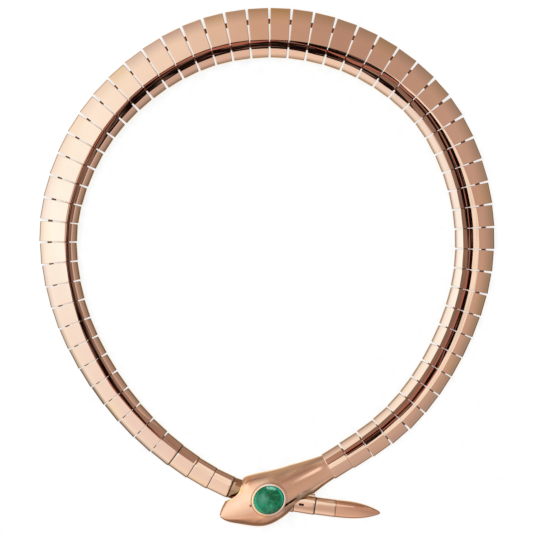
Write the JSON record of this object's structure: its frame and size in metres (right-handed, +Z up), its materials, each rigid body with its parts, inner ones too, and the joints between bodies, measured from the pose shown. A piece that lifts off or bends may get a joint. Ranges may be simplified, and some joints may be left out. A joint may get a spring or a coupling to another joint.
{
  "type": "snake necklace",
  "caption": "Snake collar necklace of smooth domed metal links that swell towards the back, closing with a snake's head over its pointed tail; one green cabochon eye.",
  "frame": {"origin": "middle of the necklace's outline seen from above, on the flat surface it lies on", "axes": "+Z up, away from the surface, the eye looks that way; +Y from the head to the widest links at the back of the neck; +X to the side that the tail tip points to"},
  "size_m": [0.1367, 0.1557, 0.009],
  "materials": {
    "rose_gold": "polished rose gold",
    "setting_gold": "polished gold, slightly yellower than the body",
    "green_stone": "polished, cloudy green stone",
    "inner_gold": "unpolished rose gold inside the links"
  },
  "bodies": {
    "root": {"head": "rose_gold", "eye_setting": "setting_gold", "eye_stone": "green_stone", "links": "rose_gold", "hinge_straps": "inner_gold", "tail_tip": "rose_gold", "clasp_peg": "inner_gold"}
  },
  "joints": []
}
